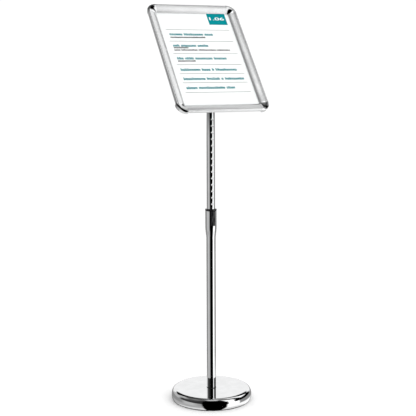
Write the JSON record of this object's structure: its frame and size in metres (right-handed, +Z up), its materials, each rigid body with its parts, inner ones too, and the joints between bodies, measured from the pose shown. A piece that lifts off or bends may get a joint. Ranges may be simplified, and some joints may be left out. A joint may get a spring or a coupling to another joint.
{
  "type": "sign stand",
  "caption": "Floor-standing sign holder: a leaning snap frame for a poster sheet on a telescopic round post with a push latch, over a round weighted base.",
  "frame": {"origin": "on the floor at the centre of the round base, under the post's axis", "axes": "+Z up the post, +X along the tilt axis, and the sign faces -Y"},
  "size_m": [0.3372, 0.3158, 1.3688],
  "materials": {
    "chrome": "bright chrome plate, mirror polished",
    "satin_aluminium": "satin silver anodised extrusion",
    "cast_iron": "rough casting, dark",
    "zinc_steel": "zinc plated steel",
    "spring_steel": "blued spring steel",
    "black_plastic": "moulded, fine matt texture",
    "black_paint": "black powder coat",
    "rubber": "soft matt rubber",
    "nylon": "natural nylon",
    "back_board": "grey styrene board",
    "paper": "printed white paper",
    "clear_sheet": "clear anti-glare sheet"
  },
  "bodies": {
    "stand": {"base_pad": "rubber", "base_weight": "cast_iron", "base_cover": "chrome", "base_bolt": "zinc_steel", "base_washer": "zinc_steel", "foot_ring": "rubber", "tube_insert": "zinc_steel", "lower_tube": "chrome", "guide_sleeve": "black_plastic", "button_spring": "spring_steel"},
    "latch": {"latch_button": "black_plastic"},
    "upper_post": {"upper_tube": "chrome", "tube_glider": "nylon", "post_head": "zinc_steel", "head_pin": "zinc_steel"},
    "panel": {"tilt_bracket": "black_paint", "bracket_screw_1": "zinc_steel", "bracket_screw_2": "zinc_steel", "bracket_screw_3": "zinc_steel", "bracket_screw_4": "zinc_steel", "friction_washer_left": "nylon", "friction_washer_right": "nylon", "tilt_bolt": "zinc_steel", "knob_washer": "zinc_steel", "base_rail_top": "satin_aluminium", "base_rail_bottom": "satin_aluminium", "base_rail_left": "satin_aluminium", "base_rail_right": "satin_aluminium", "clamp_spring_top_a": "spring_steel", "clamp_spring_top_b": "spring_steel", "clamp_spring_bottom_a": "spring_steel", "clamp_spring_bottom_b": "spring_steel", "clamp_spring_left_a": "spring_steel", "clamp_spring_left_b": "spring_steel", "clamp_spring_right_a": "spring_steel", "clamp_spring_right_b": "spring_steel", "corner_cap_top_left": "chrome", "corner_cap_top_right": "chrome", "corner_cap_bottom_left": "chrome", "corner_cap_bottom_right": "chrome", "corner_connector_top_left": "zinc_steel", "corner_connector_top_right": "zinc_steel", "corner_connector_bottom_left": "zinc_steel", "corner_connector_bottom_right": "zinc_steel", "cover_sheet": "clear_sheet", "poster": "paper", "back_board": "back_board"},
    "knob": {"tilt_knob": "black_plastic"},
    "clamp_top": {"clamp_rail_top": "satin_aluminium"},
    "clamp_bottom": {"clamp_rail_bottom": "satin_aluminium"},
    "clamp_left": {"clamp_rail_left": "satin_aluminium"},
    "clamp_right": {"clamp_rail_right": "satin_aluminium"}
  },
  "joints": [
    {"name": "height_slide", "type": "slide", "parent": "stand", "child": "upper_post", "axis": [0, 0, 1], "range_m": [-0.333, 0.0666]},
    {"name": "latch_press", "type": "hinge", "parent": "stand", "child": "latch", "pos_m": [0, -0.0146, 0.634], "axis": [1, 0, 0], "range_deg": [0, 5.5], "stiffness_Nm_per_rad": 0.6, "springref_deg": -5.73, "deforming": ["button_spring"]},
    {"name": "sign_tilt", "type": "hinge", "parent": "upper_post", "child": "panel", "pos_m": [0, 0, 1.087], "axis": [1, 0, 0], "range_deg": [-51, 39]},
    {"name": "knob_turn", "type": "hinge", "parent": "panel", "child": "knob", "pos_m": [0, 0, 1.087], "axis": [1, 0, 0], "range_deg": [0, 360]},
    {"name": "clamp_open_top", "type": "hinge", "parent": "panel", "child": "clamp_top", "pos_m": [0, 0.17036, 1.36158], "axis": [-1, 0, 0], "range_deg": [0, 95]},
    {"name": "clamp_open_bottom", "type": "hinge", "parent": "panel", "child": "clamp_bottom", "pos_m": [0, -0.11485, 1.00937], "axis": [1, 0, 0], "range_deg": [0, 95]},
    {"name": "clamp_open_left", "type": "hinge", "parent": "panel", "child": "clamp_left", "pos_m": [-0.1651, 0.02776, 1.18548], "axis": [0, -0.6293, -0.7771], "range_deg": [0, 95]},
    {"name": "clamp_open_right", "type": "hinge", "parent": "panel", "child": "clamp_right", "pos_m": [0.1651, 0.02776, 1.18548], "axis": [0, 0.6293, 0.7771], "range_deg": [0, 95]}
  ]
}
